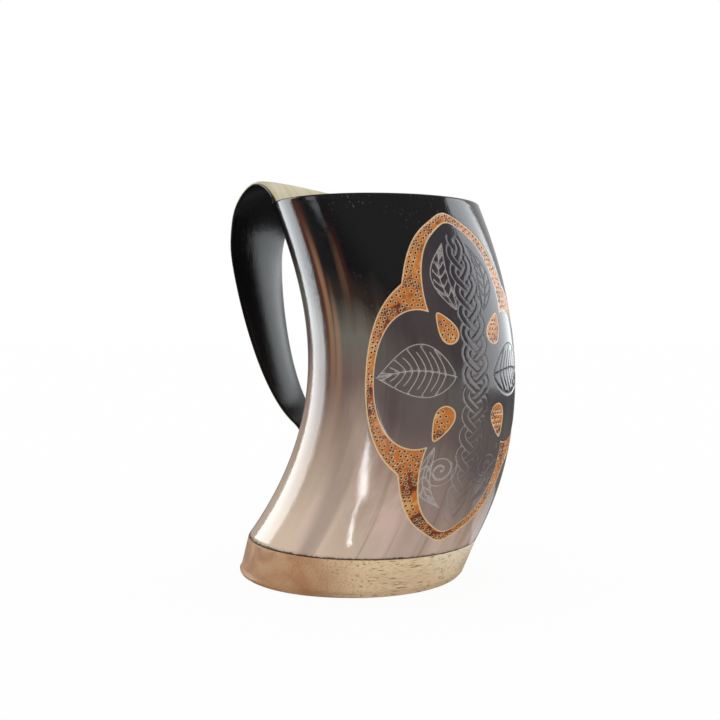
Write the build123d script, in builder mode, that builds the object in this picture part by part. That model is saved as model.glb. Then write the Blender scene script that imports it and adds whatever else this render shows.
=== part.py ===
"""Horn drinking cup: a bent horn wall with a bent horn strap for a handle, closed by a wooden foot.

Millimetres, +Z up. The origin is the centre of the foot's underside, and the handle points to -X.
"""
from build123d import *
from math import asin, cos, pi, radians, sin, sqrt
import os

os.makedirs("parts", exist_ok=True)

# ---------------------------------------------------------------- driving dimensions, mm
# Horn wall. Its level sections are ellipses, given at five even heights from the seam to the rim:
# how far forward (+X) each one's middle stands, and its size as shares of the mouth.
rim_height = 150.0
seam_height = 16.0
mouth_length = 81.0        # X
mouth_width = 86.4         # Y
horn_middle = (6.3, 23.7, 29.6, 25.2, 12.7)
horn_length_shares = (1.163, 1.062, 1.010, 0.998, 1.0)
horn_width_shares = (1.067, 1.007, 0.954, 0.958, 1.0)
foot_wall = 4.4            # horn is thicker at its foot
rim_wall = 2.8
lip_round = 0.7            # but the lip stays square under the strap, as its seat
seat_box_height = 4.0      # box that marks off that seat, taller than the lip is round

# Wooden foot, with a plug that fits up inside the horn
foot_taper_length = 1.1    # how much smaller its underside is than the horn's foot
foot_taper_width = 0.7
foot_round = 2.0
plug_height = 8.0
plug_clearance = 0.15

# Glue line under the horn and resin seal over the plug
glue_thickness = 0.4
glue_inset = 0.25          # the glue line shows as a fine groove
seal_thickness = 1.6
seal_rise = 1.8            # how far the resin climbs the wall
seal_fillet = 4.0
seal_edge = 0.4
seal_clearance = 0.05

# Handle strap, a tapered tongue of horn bent over from the rim
strap_root_half_width = 31.5
strap_flare_length = 33.8  # the flare at the root dies out over this length
strap_neck_half_width = 22.3
strap_tip_half_width = 5.6
strap_thickness = 2.6
strap_edge_thickness = 1.2
strap_reach = 22.1         # outermost point, beyond the rim
strap_shoulder_drop = 17.0  # outermost point, below the rim
crest_pull = 28.9          # how far the strap rises before it turns over
shoulder_pull = 11.9
span_pull = 11.7
knee_reach = 8.4           # where the strap turns down on to the wall, beyond the wall
knee_rise = 16.6           # and above the rivet
knee_pull = 23.2
knee_angle = 38.0          # degrees below level
bend_pull = 5.0
lap_rise = 5.0             # the strap lies on the wall from here above the rivet
lap_drop = 6.5             # to here below it
lap_clearance = 0.2
tip_round_length = 9.0
tip_flat = 0.3             # the rounded tip is cut off square, this far short
rim_sweep_length = 30.2    # its corners, bent round with the rim, come level over this length
crest_crown = 1.8          # edges of the strap, below its middle at the crest
crest_crown_length = 32.0
belly_crown = 0.6          # and beyond its middle further down

# Rivet through the strap's end and the wall
rivet_height = 45.0
rivet_radius = 1.5
rivet_clearance = 0.1
head_clearance = 0.1
head_radius = 3.4
head_height = 1.6
burr_radius = 3.0
burr_thickness = 0.9
burr_clearance = 0.15
burr_chamfer = 0.3
peen_radius = 2.0
peen_height = 0.6
hole_overrun = 4.0         # the bore is drilled this far past both faces

# Ring counts, and the steps on which slopes are measured
horn_rings = 14
bore_rings = 8
round_rings = 3
crest_rings = 16
span_rings = 10
bend_rings = 5
lap_rings = 4
slope_step = 0.5
side_step = 0.05


# ---------------------------------------------------------------- the horn's form
def through(values, share):
    """Height of the smooth curve through evenly spaced values, at a share of its length."""
    last = len(values) - 1
    total = 0.0
    for i, value in enumerate(values):
        weight = 1.0
        for j in range(last + 1):
            if j != i:
                weight *= (share * last - j) / (i - j)
        total += weight * value
    return total


def share_of(height):
    """Share of the way from the seam to the rim."""
    return (height - seam_height) / (rim_height - seam_height)


def middle(height):
    return through(horn_middle, share_of(height))


def half_length(height):
    return mouth_length / 2 * through(horn_length_shares, share_of(height))


def half_width(height):
    return mouth_width / 2 * through(horn_width_shares, share_of(height))


def wall_at(height):
    return foot_wall + (rim_wall - foot_wall) * share_of(height)


def horn_section(height, inset=0.0):
    """Level section of the horn, drawn smaller by an inset."""
    with BuildSketch(Plane.XY.offset(height)) as section:
        with Locations((middle(height), 0)):
            Ellipse(half_length(height) - inset, half_width(height) - inset)
    return section.sketch


def back_wall(height):
    """Point on the wall under the handle, in the plane y = 0."""
    return Vector(middle(height) - half_length(height), 0, height)


def back_slope(height):
    """Unit direction up the wall under the handle."""
    return (back_wall(height + slope_step) - back_wall(height - slope_step)).normalized()


def even(start, stop, count):
    return [start + (stop - start) * i / (count - 1) for i in range(count)]


def quarter_round(radius):
    """Rings down a rounded corner, as pairs of how far in and how far from the end each one lies."""
    turns = [radians(turn) for turn in even(0, 90, round_rings)]
    return [(radius * (1 - cos(turn)), radius * (1 - sin(turn))) for turn in turns]


# ---------------------------------------------------------------- rivet's place
# The rivet stands square to the wall, in the plane y = 0
rivet_seat = back_wall(rivet_height)
rivet_out = Vector(0, 1, 0).cross(back_slope(rivet_height)) * -1
rivet_plane = Plane(origin=rivet_seat, x_dir=(0, 1, 0), z_dir=rivet_out)
wall_depth = wall_at(rivet_height) * abs(rivet_out.X)


def rivet_hole():
    """Bore for the rivet, long enough for the wall and the strap together."""
    with BuildPart() as bore:
        with BuildSketch(rivet_plane.offset(-wall_depth - hole_overrun)):
            Circle(rivet_radius + rivet_clearance)
        extrude(amount=wall_depth + strap_thickness + 2 * hole_overrun)
    return bore.part


# ---------------------------------------------------------------- cup wall
# Ruled lofts through close rings follow the horn's curves and stay light to mesh
lip_foot = rim_height - lip_round
lip = quarter_round(lip_round)
plug_top = seam_height + plug_height
seal_floor = plug_top + seal_thickness
seal_top = seal_floor + seal_rise
bore_heights = [seam_height, plug_top] + even(seal_top, lip_foot, bore_rings)
with BuildPart() as cup_wall:
    loft([horn_section(height) for height in even(seam_height, lip_foot, horn_rings)]
         + [horn_section(rim_height - below, inset) for inset, below in lip[1:]], ruled=True)
    loft([horn_section(height, wall_at(height)) for height in bore_heights]
         + [horn_section(rim_height - below, wall_at(rim_height - below) - inset)
            for inset, below in lip[1:]], ruled=True, mode=Mode.SUBTRACT)

# The strap's seat on the lip, square where the rest is round
with BuildPart() as strap_seat:
    loft([horn_section(height) for height in (lip_foot, rim_height)], ruled=True)
    loft([horn_section(height, wall_at(height)) for height in (lip_foot, rim_height)], ruled=True,
         mode=Mode.SUBTRACT)
    with Locations((back_wall(rim_height).X, 0, rim_height)):
        Box(mouth_length, 2 * strap_root_half_width, seat_box_height, mode=Mode.INTERSECT)

with cup_wall:
    add(strap_seat.part)
    add(rivet_hole(), mode=Mode.SUBTRACT)

# ---------------------------------------------------------------- wooden foot
foot_top = seam_height - glue_thickness


def foot_section(height, inset):
    """Level section of the foot, which leans from its underside to the horn's own outline."""
    share = height / foot_top
    taper = 1 - share
    length = half_length(foot_top) - foot_taper_length * taper
    width = half_width(foot_top) - foot_taper_width * taper
    with BuildSketch(Plane.XY.offset(height)) as section:
        with Locations((middle(foot_top) * share, 0)):
            Ellipse(length - inset, width - inset)
    return section.sketch


with BuildPart() as wood_base:
    loft([foot_section(height, inset) for inset, height in reversed(quarter_round(foot_round))]
         + [foot_section(foot_top, 0)], ruled=True)
    loft([horn_section(height, wall_at(height) + plug_clearance)
          for height in (foot_top, seam_height, plug_top)], ruled=True)

with BuildPart() as base_glue_line:
    loft([horn_section(height, glue_inset) for height in (foot_top, seam_height)])
    loft([horn_section(height, wall_at(height) + plug_clearance) for height in (foot_top, seam_height)],
         mode=Mode.SUBTRACT)

# ---------------------------------------------------------------- resin seal over the plug
with BuildPart() as floor_seal:
    loft([horn_section(height, wall_at(height) + seal_clearance) for height in (plug_top, seal_top)])
    loft([horn_section(seal_floor, wall_at(seal_floor) + seal_fillet),
          horn_section(seal_top, wall_at(seal_top) + seal_clearance + seal_edge)], mode=Mode.SUBTRACT)

# ---------------------------------------------------------------- handle strap
# Its middle line runs in the plane y = 0: up off the rim, over, down in one long bow,
# and on to the wall where the rivet holds it.
root = back_wall(rim_height)
shoulder = root + Vector(-strap_reach, 0, -strap_shoulder_drop)
knee_height = rivet_height + knee_rise
knee = back_wall(knee_height) - Vector(knee_reach, 0, 0)
knee_direction = Vector(cos(radians(knee_angle)), 0, -sin(radians(knee_angle)))
lap_heights = (rivet_height + lap_rise, rivet_height, rivet_height - lap_drop)
lap_points = [back_wall(height) + rivet_out * lap_clearance for height in lap_heights]
down = Vector(0, 0, -1)

with BuildLine() as crest_line:
    Bezier(root, root + back_slope(rim_height) * crest_pull, shoulder - down * shoulder_pull, shoulder)
with BuildLine() as span_line:
    Bezier(shoulder, shoulder + down * span_pull, knee - knee_direction * knee_pull, knee)
with BuildLine() as bend_line:
    Bezier(knee, knee + knee_direction * bend_pull,
           lap_points[0] + back_slope(lap_heights[0]) * bend_pull, lap_points[0])
with BuildLine() as lap_line:
    Spline(lap_points)

stretches = [(crest_line.edge(), crest_rings), (span_line.edge(), span_rings),
             (bend_line.edge(), bend_rings), (lap_line.edge(), lap_rings)]
strap_length = sum(edge.length for edge, rings in stretches)
last_run = strap_length - tip_flat


def strap_middle(run):
    """Point and direction of the strap's middle line, at a run from the rim."""
    for edge, rings in stretches:
        if run <= edge.length or edge is stretches[-1][0]:
            run = min(max(run, 0), edge.length)
            return (edge.position_at(run, PositionMode.LENGTH),
                    edge.tangent_at(run, PositionMode.LENGTH))
        run -= edge.length


def rim_sweep():
    """How far the strap's corners at the rim stand behind its middle, round the lip."""
    across = strap_root_half_width / (mouth_width / 2)
    return mouth_length / 2 * (1 - sqrt(1 - across ** 2))


def flare_at(run):
    """1 at the root, falling to 0 where the flare ends."""
    return max(0, 1 - run / strap_flare_length) ** 2


def thickness_at(run, side):
    """The strap starts as thick as the rim and thins to its own thickness, less at its edges."""
    thin = strap_edge_thickness if side else strap_thickness
    return thin + (rim_wall - thin) * flare_at(run)


def half_width_at(run):
    taper = strap_neck_half_width + (strap_tip_half_width - strap_neck_half_width) * run / strap_length
    tip = max(0, 1 - (strap_length - run) / tip_round_length)
    return (taper + (strap_root_half_width - strap_neck_half_width) * flare_at(run)) * sqrt(1 - tip ** 2)


def edge_offset(run, pale):
    """Where the strap's edges stand beside its middle: behind it at the rim, below it at the crest."""
    sweep = rim_sweep() * (1 + cos(pi * min(1, run / rim_sweep_length))) / 2
    if run < crest_crown_length:
        crown = -crest_crown * sin(pi * run / crest_crown_length)
    else:
        crown = belly_crown * sin(pi * (run - crest_crown_length) / (strap_length - crest_crown_length))
    return Vector(sweep, 0, 0) + pale * crown


def strap_point(run, side):
    """Point on the strap's dark face; side is -1, 0 or 1 across it."""
    point, along = strap_middle(run)
    pale = Vector(along.Z, 0, -along.X)
    return point + edge_offset(run, pale) * side ** 2 + Vector(0, side * half_width_at(run), 0)


def strap_normal(run, side):
    """Unit normal of the strap, from its dark face to its pale one."""
    near, far = max(run - slope_step, 0), min(run + slope_step, strap_length - slope_step)
    along = strap_point(far, side) - strap_point(near, side)
    across = strap_point(run, side + side_step) - strap_point(run, side - side_step)
    normal = across.cross(along)
    if run == 0:
        normal = Vector(normal.X, normal.Y, 0)
    if run == last_run:
        direction = strap_middle(run)[1]
        normal = Vector(direction.Z, 0, -direction.X)
    return normal.normalized()


def strap_ring(run):
    """Closed outline of the strap across its length."""
    dark = [strap_point(run, side) for side in (-1, 0, 1)]
    pale = [point + strap_normal(run, side) * thickness_at(run, side)
            for point, side in zip(dark, (-1, 0, 1))]
    with BuildLine() as ring:
        ThreePointArc(*dark)
        Line(dark[2], pale[2])
        ThreePointArc(*reversed(pale))
        Line(pale[0], dark[0])
    return ring.wire()


runs = []
start = 0.0
for edge, rings in stretches:
    runs += [start + edge.length * i / rings for i in range(rings)]
    start += edge.length
runs.append(last_run)

with BuildPart() as handle_strap:
    add(Solid.make_loft([strap_ring(run) for run in runs], ruled=True))
    add(rivet_hole(), mode=Mode.SUBTRACT)

# ---------------------------------------------------------------- rivet and burr
head_seat = lap_clearance + strap_thickness + head_clearance
burr_seat = -wall_depth - burr_clearance
peen_seat = burr_seat - burr_thickness
rivet_section = Plane(origin=rivet_seat, x_dir=(0, 1, 0), z_dir=Vector(0, 1, 0).cross(rivet_out))


def dome(radius, height, seat, way):
    """Half outline of a round-topped end, bulging out (way 1) or back (way -1) from its seat."""
    sphere = (radius ** 2 + height ** 2) / (2 * height)
    turns = even(asin(radius / sphere), 0, round_rings)
    return Polyline([(sphere * sin(turn), seat + way * (height - sphere * (1 - cos(turn))))
                     for turn in turns])


with BuildPart() as handle_rivet:
    with BuildSketch(rivet_section):
        with BuildLine():
            dome(head_radius, head_height, head_seat, 1)
            Polyline((head_radius, head_seat), (rivet_radius, head_seat), (rivet_radius, peen_seat),
                     (peen_radius, peen_seat))
            dome(peen_radius, peen_height, peen_seat, -1)
            Line((0, peen_seat - peen_height), (0, head_seat + head_height))
        make_face()
    revolve(axis=Axis(rivet_seat, rivet_out))

with BuildPart() as rivet_burr:
    with BuildSketch(rivet_plane.offset(peen_seat)):
        Circle(burr_radius)
        Circle(rivet_radius + rivet_clearance, mode=Mode.SUBTRACT)
    extrude(amount=burr_thickness)
    chamfer(rivet_burr.edges().filter_by(GeomType.CIRCLE).sort_by(SortBy.RADIUS)[-2:].sort_by(Axis.X)[-1],
            burr_chamfer)

# ---------------------------------------------------------------- files
for name, made in {
    "cup_wall": cup_wall,
    "handle_strap": handle_strap,
    "wood_base": wood_base,
    "base_glue_line": base_glue_line,
    "floor_seal": floor_seal,
    "handle_rivet": handle_rivet,
    "rivet_burr": rivet_burr,
}.items():
    made.part.label = name
    export_step(made.part, f"parts/{name}.step")
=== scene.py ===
"""Looks of a horn drinking cup, laid out as a Blender add-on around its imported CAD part.

Everything is in metres, in the part's own frame: +Z up, the handle towards -X. The carving's
drawing alone is in millimetres, measured from the middle of its panel.
"""
import random
from math import asin, atan2, cos, exp, hypot, pi, radians, sin, sqrt, tau

import bmesh
import bpy
from bpy.props import FloatProperty, FloatVectorProperty, IntProperty, PointerProperty
from mathutils import Euler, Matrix, Quaternion, Vector, kdtree
from mathutils.geometry import interpolate_bezier


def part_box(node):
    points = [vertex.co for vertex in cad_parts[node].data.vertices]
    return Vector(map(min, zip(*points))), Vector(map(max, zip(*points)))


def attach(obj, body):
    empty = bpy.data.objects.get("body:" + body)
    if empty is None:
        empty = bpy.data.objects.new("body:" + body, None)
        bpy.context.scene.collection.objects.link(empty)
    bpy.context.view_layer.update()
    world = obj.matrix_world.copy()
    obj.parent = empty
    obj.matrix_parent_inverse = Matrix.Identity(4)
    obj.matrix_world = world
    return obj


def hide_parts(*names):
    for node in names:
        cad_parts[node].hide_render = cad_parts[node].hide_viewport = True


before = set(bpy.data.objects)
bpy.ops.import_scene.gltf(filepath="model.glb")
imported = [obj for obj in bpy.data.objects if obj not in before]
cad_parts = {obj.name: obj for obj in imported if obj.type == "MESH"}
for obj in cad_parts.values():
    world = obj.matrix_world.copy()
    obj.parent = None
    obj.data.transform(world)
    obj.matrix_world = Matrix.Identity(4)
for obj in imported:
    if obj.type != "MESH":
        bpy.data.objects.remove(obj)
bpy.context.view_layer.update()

bl_info = {
    "name": "Horn Cup",
    "version": (1, 0, 0),
    "blender": (4, 5, 0),
    "location": "3D View > Sidebar > Horn Cup",
    "description": "Carved horn wall, bent strap handle, wooden foot and fittings of a drinking cup",
    "category": "Object",
}

MM = 0.001
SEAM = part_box("cup_wall")[0].z
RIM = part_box("cup_wall")[1].z
FOOT_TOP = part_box("base_glue_line")[0].z
PLUG_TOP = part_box("wood_base")[1].z
GROWTH_RADIUS = 0.0425      # the horn's grain and the drawing are wrapped on this radius
TOUCH = MM / 100            # points this close are one


def srgb(red, green, blue):
    """A colour written as a screen shows it, 0 to 255, as the shaders' linear one."""
    return tuple(c / 12.92 if c <= 0.04045 else ((c + 0.055) / 1.055) ** 2.4
                 for c in (red / 255, green / 255, blue / 255)) + (1.0,)


def length(name, description, default):
    """A size that the user can set."""
    return FloatProperty(name=name, description=description, default=default, unit="LENGTH", precision=5)


def lengths(name, description, default, **settings):
    """Several sizes, or a place, that the user can set."""
    return FloatVectorProperty(name=name, description=description, default=default, size=len(default),
                               **settings)


def number(name, description, default):
    """A plain number that the user can set."""
    return FloatProperty(name=name, description=description, default=default)


def turn_of(name, description, degrees):
    """An angle that the user can set."""
    return FloatProperty(name=name, description=description, default=radians(degrees), subtype="ANGLE")


def colour(name, description, default):
    """A colour that the user can set."""
    return FloatVectorProperty(name=name, description=description, default=default, size=4, subtype="COLOR",
                               min=0.0, max=1.0)


# ---------------------------------------------------------------- sizes and colours
class HornForm(bpy.types.PropertyGroup):
    """The horn's wall: level ellipses at five even heights, from the seam to the rim"""

    middle: lengths("Middle", "How far forward each section's middle stands",
                    (0.0063, 0.0237, 0.0296, 0.0252, 0.0127), unit="LENGTH")
    mouth_length: length("Mouth length", "Length of the rim, front to back", 0.081)
    mouth_width: length("Mouth width", "Width of the rim, side to side", 0.0864)
    length_shares: lengths("Length shares", "Length of each section, as a share of the mouth's",
                           (1.163, 1.062, 1.010, 0.998, 1.0))
    width_shares: lengths("Width shares", "Width of each section, as a share of the mouth's",
                          (1.067, 1.007, 0.954, 0.958, 1.0))
    foot_wall: length("Wall at the foot", "Thickness of the horn at its seam", 0.0044)
    rim_wall: length("Wall at the rim", "Thickness of the horn at its rim", 0.0028)
    lip_round: length("Lip round", "Radius of the lip's two edges", 0.0007)
    inset: length("Inset", "How far the wall is polished down from the CAD part's", 0.00006)
    row: length("Row", "Height of the plain wall's mesh rows", 0.0016)
    column: length("Column", "Width of the plain wall's mesh columns", 0.0028)


class CarvingForm(bpy.types.PropertyGroup):
    """The carved panel on the front of the horn"""

    angle: turn_of("Angle", "Where the panel's middle stands round the horn, from +X", -22)
    height: length("Height", "Height of the panel's middle above the table", 0.0825)
    radius: length("Radius", "Radius of the wall on which the drawing is wrapped", GROWTH_RADIUS)
    half_width: length("Half width", "Half width of the panel, along the wall", 0.0455)
    half_height: length("Half height", "Half height of the panel", 0.0605)
    band: length("Band", "Width of the punched border at the lobes", 0.0034)
    sunk: length("Sunk", "How far the punched ground lies below the wall", 0.00022)
    line_depth: length("Line depth", "Depth of the scribed lines", 0.0002)
    line_width: length("Line width", "Half width of the scribed lines", 0.00028)
    punch_depth: length("Punch depth", "Depth of the punched pits", 0.00042)
    punch_radius: length("Punch radius", "Radius of the punched pits, with their raised rings", 0.00078)
    punch_gap: length("Punch gap", "Distance from one punched pit to the next", 0.002)
    cell: length("Cell", "Size of the mesh's cells on the panel", 0.00046)


class StrapForm(bpy.types.PropertyGroup):
    """The horn strap that bends over from the rim and down to the rivet"""

    root_half_width: length("Root", "Half width where the strap leaves the rim", 0.0315)
    flare_length: length("Flare", "Length over which the root's flare dies out", 0.0338)
    neck_half_width: length("Neck", "Half width past the flare", 0.0223)
    tip_half_width: length("Tip", "Half width at the strap's end", 0.0056)
    thickness: length("Thickness", "Thickness along the middle", 0.0026)
    edge_thickness: length("Edge", "Thickness along the edges", 0.0012)
    reach: length("Reach", "Outermost point, beyond the rim", 0.0221)
    shoulder_drop: length("Shoulder drop", "Outermost point, below the rim", 0.017)
    crest_pull: length("Crest pull", "How strongly the strap rises from the rim", 0.0289)
    shoulder_pull: length("Shoulder pull", "How slowly it turns down at its outermost point", 0.0119)
    span_pull: length("Span pull", "How long it falls straight", 0.0117)
    knee_reach: length("Knee reach", "Where it turns on to the wall, beyond the wall", 0.0084)
    knee_rise: length("Knee rise", "Where it turns on to the wall, above the rivet", 0.0166)
    knee_pull: length("Knee pull", "How slowly it turns towards the wall", 0.0232)
    knee_angle: turn_of("Knee angle", "Slope of the strap at its knee, below level", 38)
    bend_pull: length("Bend pull", "How tightly it turns down along the wall", 0.005)
    rivet_height: length("Rivet height", "Height of the rivet above the table", 0.045)
    lap_rise: length("Lap rise", "Where the strap meets the wall, above the rivet", 0.005)
    lap_drop: length("Lap drop", "Where the strap ends, below the rivet", 0.0065)
    lap_clearance: length("Lap clearance", "Gap between the strap's end and the wall", 0.0002)
    tip_round: length("Tip round", "Length of the rounded tip", 0.009)
    tip_flat: length("Tip flat", "How far short of its point the tip is cut off", 0.0003)
    crown: length("Crown", "How far the edges hang below the middle at the crest", 0.0018)
    crown_length: length("Crown length", "Length of the crowned stretch", 0.032)
    belly: length("Belly", "How far the edges stand out further down", 0.0006)
    press: length("Press", "How much further the middle bulges towards the cup", 0.0026)
    press_end: length("Press end", "Length at the strap's end that stays unpressed", 0.014)
    sweep_length: length("Sweep length", "Length over which the rim's bend dies out", 0.0302)
    soft_length: length("Soft length", "Length over which the root's square edges become round", 0.006)
    row: length("Row", "Length of the mesh rows", 0.0011)
    across: IntProperty(name="Across", description="Mesh cells across each face", default=26)
    round: IntProperty(name="Round", description="Mesh cells round each edge", default=6)


class FootForm(bpy.types.PropertyGroup):
    """The wooden foot and its plug"""

    taper_length: length("Taper, length", "How much shorter its underside is, each way", 0.0011)
    taper_width: length("Taper, width", "How much narrower its underside is, each way", 0.0007)
    edge_round: length("Edge round", "Rounding of the lower edge", 0.0018)
    top_round: length("Top round", "Rounding of the upper edge, under the horn", 0.00035)
    plug_clearance: length("Plug clearance", "Gap between the plug and the horn", 0.00015)
    wander: length("Wander", "How far hand sanding leaves the side off its true line", 0.00012)


class Finishes(bpy.types.PropertyGroup):
    """Colours of the horn, the wood and the fittings"""

    black: colour("Black", "Darkest horn, at the rim", srgb(19, 18, 20))
    brown: colour("Brown", "Red-brown streaks where the black ends", srgb(84, 44, 32))
    sable: colour("Sable", "Warm black just above the streaks", srgb(52, 42, 38))
    chalk: colour("Chalk", "Worn patch by the foot", srgb(206, 208, 196))
    umber: colour("Umber", "Paler red-brown streaks", srgb(164, 122, 90))
    # Painted reflection: blue-grey laid on the far half of the strap's dark face
    slate_reflection: colour("Slate", "Blue-grey horn, on the strap's far side", srgb(58, 64, 66))
    smoke: colour("Smoke", "Greenish grey horn just below the black", srgb(112, 108, 98))
    mauve: colour("Mauve", "Dull rosy grey horn further down", srgb(120, 103, 96))
    tan: colour("Tan", "Warm horn", srgb(170, 147, 131))
    pale: colour("Pale", "Palest horn, near the foot", srgb(222, 200, 178))
    rose: colour("Rose", "Rosy clouds in the pale horn", srgb(220, 192, 178))
    cream: colour("Cream", "Inner skin of the horn", srgb(216, 206, 174))
    moss: colour("Moss", "Greenish blotches on the inner skin", srgb(190, 178, 138))
    ground: colour("Ground", "Field of the carved panel", srgb(62, 56, 64))
    # Painted highlight on the scribed lines' walls on the panel's left; also the colour of the faint dust on
    # the black
    scribe: colour("Scribe", "Scribed lines in the field", srgb(190, 180, 174))
    amber: colour("Amber", "Punched border", srgb(196, 112, 36))
    rust: colour("Rust", "Darker stretches of the border", srgb(124, 52, 22))
    soot: colour("Soot", "Scorched spots of the border", srgb(74, 30, 16))
    honey: colour("Honey", "Paler stretches of the border", srgb(220, 162, 92))
    # Pale raised edges and pit rings, and the painted highlight in the centres of some pits
    bone: colour("Bone", "Raised edges along the border", srgb(232, 206, 158))
    pit: colour("Pit", "Bottoms of the punched pits", srgb(48, 32, 22))
    wood: colour("Wood", "Foot, across the grain", srgb(188, 136, 92))
    wood_pale: colour("Pale wood", "Foot, along the grain", srgb(240, 214, 174))
    sapwood: colour("Sapwood", "Foot, at its very front", srgb(255, 242, 212))
    pore: colour("Pore", "Pores of the wood", srgb(132, 92, 58))
    glue: colour("Glue", "Dark glue line", srgb(52, 36, 26))
    resin: colour("Resin", "Sealing resin in the bottom of the cup", srgb(74, 46, 22))
    brass: colour("Brass", "Rivet and burr", srgb(198, 160, 92))


class StageForm(bpy.types.PropertyGroup):
    """Camera, table and what lights or is mirrored from all round"""

    lens: number("Lens", "Focal length, in millimetres", 50.0)
    azimuth: turn_of("Azimuth", "How far round the camera stands", 35)
    pitch: turn_of("Pitch", "How far the camera looks down", 2.38)
    place: lengths("Place", "Where the camera stands", (0.2405, -0.3365, 0.1044), subtype="TRANSLATION")
    fill: number("Fill", "Even light from all round", 0.80)
    lift: number("Lift", "How much more of it comes from above", 0.30)
    dark: number("Dark", "What polished horn mirrors where no lamp stands", 0.03)
    back: number("Back", "What polished horn mirrors behind the cup", 0.55)
    ceiling: number("Ceiling", "What polished horn mirrors from above", 0.16)
    under: number("Under", "What polished horn mirrors of the table", 0.12)
    table: colour("Table", "Table top", (0.9, 0.9, 0.9, 1.0))
    glow: number("Glow", "Share of the table that shows as plain white", 0.94)


# ---------------------------------------------------------------- shader nodes
class Wire:
    """A shader socket. Python's operators on it add Math nodes."""

    def __init__(self, nodes, socket):
        self.nodes = nodes
        self.socket = socket

    def maths(self, operation, *values):
        return self.nodes.add("Math", {"operation": operation}, dict(enumerate(values)))

    def __add__(self, other):
        return self.maths("ADD", self, other)

    def __sub__(self, other):
        return self.maths("SUBTRACT", self, other)

    def __rsub__(self, other):
        return self.maths("SUBTRACT", other, self)

    def __mul__(self, other):
        return self.maths("MULTIPLY", self, other)

    __radd__ = __add__
    __rmul__ = __mul__

    def __abs__(self):
        return self.maths("ABSOLUTE", self)

    def least(self, other):
        return self.maths("MINIMUM", self, other)

    def most(self, other):
        return self.maths("MAXIMUM", self, other)

    def rise(self, low, high):
        """0 below low, 1 above high and smooth between, or the other way round where low is above high."""
        return self.nodes.add("MapRange", {"interpolation_type": "SMOOTHSTEP"},
                              {"Value": self, "From Min": low, "From Max": high})


class Nodes:
    """A node tree, filled one node at a time."""

    def __init__(self, tree):
        self.tree = tree
        tree.nodes.clear()

    def add(self, kind, settings=None, sockets=None, out=0):
        """A node of a kind, its settings first and then the values or wires of its sockets."""
        node = self.tree.nodes.new("ShaderNode" + kind)
        for name, value in (settings or {}).items():
            if name == "stops":
                self.fill_ramp(node.color_ramp, value)
            else:
                setattr(node, name, value)
        for name, value in (sockets or {}).items():
            if isinstance(value, Wire):
                self.tree.links.new(value.socket, node.inputs[name])
            else:
                node.inputs[name].default_value = value
        return Wire(self, node.outputs[out]) if len(node.outputs) else None

    @staticmethod
    def fill_ramp(ramp, stops):
        while len(ramp.elements) < len(stops):
            ramp.elements.new(1.0)
        for element, (place, shade) in zip(ramp.elements, stops):
            element.position = place
            element.color = shade

    def mix(self, share, first, second):
        """Two colours, mixed: share 0 is the first."""
        return self.add("Mix", {"data_type": "RGBA"}, {0: share, 6: first, 7: second}, out=2)

    def stretch(self, vector, scale):
        """A vector, each part of it multiplied by the scale's own."""
        return self.add("VectorMath", {"operation": "MULTIPLY"}, {0: vector, 1: scale})

    def noise(self, vector, scale, detail=3.0, roughness=0.5, distortion=0.0):
        return self.add("TexNoise", {}, {"Vector": vector, "Scale": scale, "Detail": detail,
                                         "Roughness": roughness, "Distortion": distortion})

    def drawn_out(self, vector, share, scale, detail=3.0, roughness=0.5, distortion=0.0):
        """Noise with long spots along Z, of which only a share counts."""
        return self.noise(self.stretch(vector, (1.0, 1.0, share)), scale, detail, roughness, distortion)

    def part(self, vector, axis):
        return self.add("SeparateXYZ", {}, {"Vector": vector}, out=axis)

    def attribute(self, name):
        return self.add("Attribute", {"attribute_name": name}, out="Vector")


class Finish(Nodes):
    """A material and its nodes."""

    def __init__(self, name, shade):
        self.material = bpy.data.materials.new(name)
        self.material.use_nodes = True
        self.material.diffuse_color = tuple(shade)
        super().__init__(self.material.node_tree)

    def place(self):
        """Object coordinates."""
        return self.add("TexCoord", {}, out="Object")

    def surface(self, base, roughness, bump, depth, **fixed):
        """Ends the tree in one glossy surface, with a bump of that depth, and returns the material."""
        normal = self.add("Bump", {}, {"Strength": 1.0, "Distance": depth, "Height": bump})
        sockets = {"Base Color": base, "Roughness": roughness, "Normal": normal}
        sockets.update({name.replace("_", " "): value for name, value in fixed.items()})
        shader = self.add("BsdfPrincipled", {}, sockets)
        self.add("OutputMaterial", {}, {"Surface": shader})
        return self.material


# ---------------------------------------------------------------- horn finish
# Long streaks of the outer skin: place round the horn and half width in degrees, upper and lower end above
# the table, colour and strength
STREAKS = (
    (-104, 7.0, 0.154, 0.082, "brown", 0.8), (-102, 3.4, 0.134, 0.078, "umber", 0.7),
    (-97, 2.2, 0.112, 0.070, "umber", 0.6), (-86, 3.8, 0.134, 0.116, "brown", 0.6),
    (-88, 2.6, 0.130, 0.114, "umber", 0.3), (-93, 6.0, 0.092, 0.052, "brown", 0.25),
    (-66, 6.0, 0.085, 0.040, "brown", 0.30), (20, 4.0, 0.120, 0.040, "umber", 0.6),
    (52, 7.0, 0.125, 0.055, "brown", 0.6), (96, 4.0, 0.130, 0.035, "umber", 0.6),
    (128, 6.0, 0.140, 0.060, "brown", 0.7), (165, 5.0, 0.130, 0.050, "umber", 0.5))
STREAK_WANDER = 7           # how far streaks stray round the horn, in degrees
STREAK_FADE = 0.02          # how far above and below its ends a streak fades
BLACK_END = 0.103           # height to which the black reaches down
BLACK_SLANT = 0.026         # how much further down it reaches in front, and how much less behind
BLACK_FRONT = radians(30)   # where it reaches lowest, round the horn
WORN_PLACE = -118           # middle of the worn patch round the horn, in degrees
HORN_IOR = 1.54


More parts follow.
